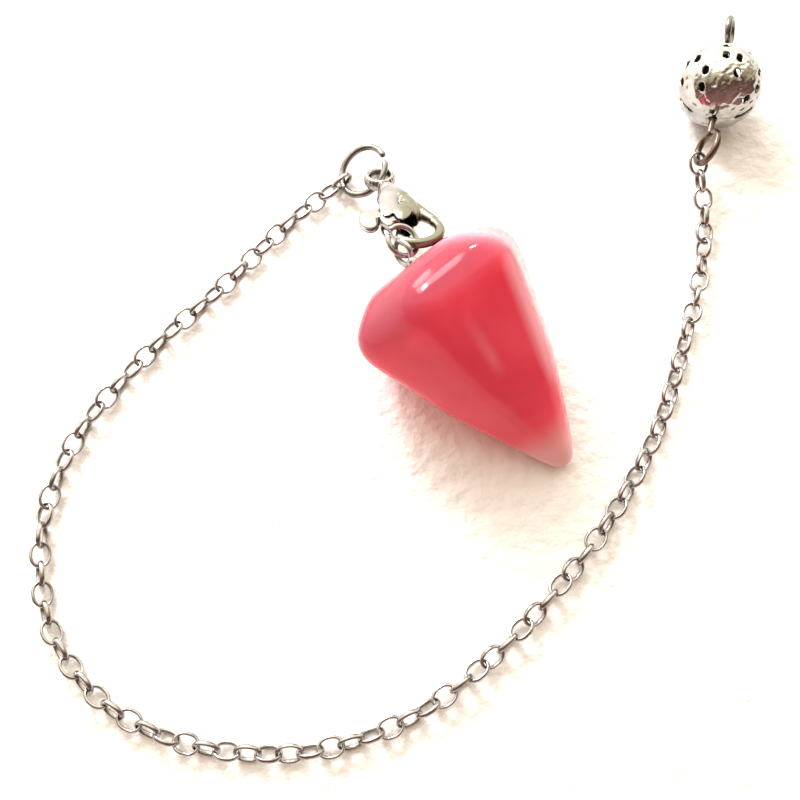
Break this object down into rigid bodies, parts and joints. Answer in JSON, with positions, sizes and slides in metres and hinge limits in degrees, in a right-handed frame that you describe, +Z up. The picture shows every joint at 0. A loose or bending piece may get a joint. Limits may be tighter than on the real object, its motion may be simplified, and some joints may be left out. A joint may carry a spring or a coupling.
{
  "type": "pendulum pendant",
  "caption": "Hand-held pendulum: a hexagonal cherry-red stone point on a lobster clasp, a fine cable chain and a hollow filigree ball as the handhold.",
  "frame": {"origin": "middle of the whole piece seen from above, on the surface that it lies on", "axes": "+Z up from the surface, +Y from the low bend of the chain toward the ball"},
  "size_m": [0.083, 0.0867, 0.0182],
  "materials": {
    "red_stone": "polished, translucent",
    "steel": "polished",
    "chain_steel": "polished",
    "dark_steel": "satin",
    "filigree_silver": "stamped, polished"
  },
  "bodies": {
    "root": {"stone": "red_stone", "bail_peg": "steel", "pendant_ring": "steel", "clasp_body": "steel", "clasp_pin": "steel", "clasp_ring": "steel", "chain": "chain_steel", "eye_pin": "dark_steel"},
    "lever": {"clasp_lever": "steel"},
    "ball": {"filigree_ball": "filigree_silver"}
  },
  "joints": [
    {"name": "lever_hinge", "type": "hinge", "parent": "root", "child": "lever", "pos_m": [-0.00341, 0.0161, 0.00663], "axis": [-0.021, 0.4918, 0.8705], "range_deg": [0, 20], "stiffness_Nm_per_rad": 0.0005},
    {"name": "ball_spin", "type": "hinge", "parent": "root", "child": "ball", "pos_m": [0.03649, 0.0335, 0.005], "axis": [0.2588, 0.9659, 0], "continuous": true}
  ]
}
